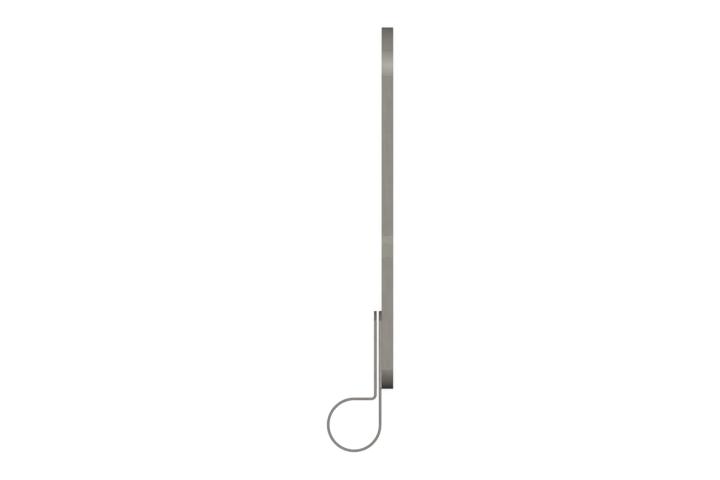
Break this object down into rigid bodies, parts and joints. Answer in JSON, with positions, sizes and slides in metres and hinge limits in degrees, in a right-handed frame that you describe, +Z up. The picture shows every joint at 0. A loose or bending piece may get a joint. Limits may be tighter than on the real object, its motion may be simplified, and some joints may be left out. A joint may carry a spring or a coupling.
{
  "type": "inoculating loop",
  "caption": "Wire loop with two parallel legs, one brazed to the side of a square metal handle that unscrews at a union nut; transfers microbial cultures.",
  "frame": {"origin": "on the underside of the grip tube, halfway along it, where the tool rests on the bench", "axes": "+Y along the handle from the loop to the end cap, +X from the loop towards the handle, +Z up out of the bench"},
  "size_m": [0.0312, 0.1996, 0.0055],
  "materials": {
    "end_cap": "dark satin nickel",
    "polished_collar": "polished nickel",
    "satin_nickel": "satin nickel",
    "ferrule": "bright nickel silver",
    "coupling_nut": "satin nickel silver",
    "washer": "red vulcanised fibre",
    "pin": "turned steel",
    "blackened_nose": "flame blackened",
    "wire": "drawn nickel chromium wire",
    "wire_tip": "dark oxidised steel",
    "braze": "silver braze filler"
  },
  "bodies": {
    "handle": {"end_cap": "end_cap", "polished_collar": "polished_collar", "grip_tube": "satin_nickel", "upper_ferrule": "ferrule"},
    "loop_head": {"coupling_pin": "pin", "joint_washer": "washer", "shank": "satin_nickel", "nose_cap": "blackened_nose", "loop_wire": "wire", "free_leg_tip": "wire_tip", "fixed_leg_tip": "wire_tip", "upper_braze": "braze", "lower_braze": "braze"},
    "coupling_nut": {"coupling_nut": "coupling_nut"}
  },
  "joints": [
    {"name": "head_travel", "type": "slide", "parent": "handle", "child": "loop_head", "axis": [0, -1, 0], "range_m": [0, 0.003]},
    {"name": "nut_turn", "type": "hinge", "parent": "loop_head", "child": "coupling_nut", "pos_m": [0, -0.0445, 0.00275], "axis": [0, -1, 0], "range_deg": [0, 1080]}
  ],
  "couplings": [
    {"joint": "nut_turn", "follows": "head_travel", "rad_per_m": 6283.2}
  ]
}
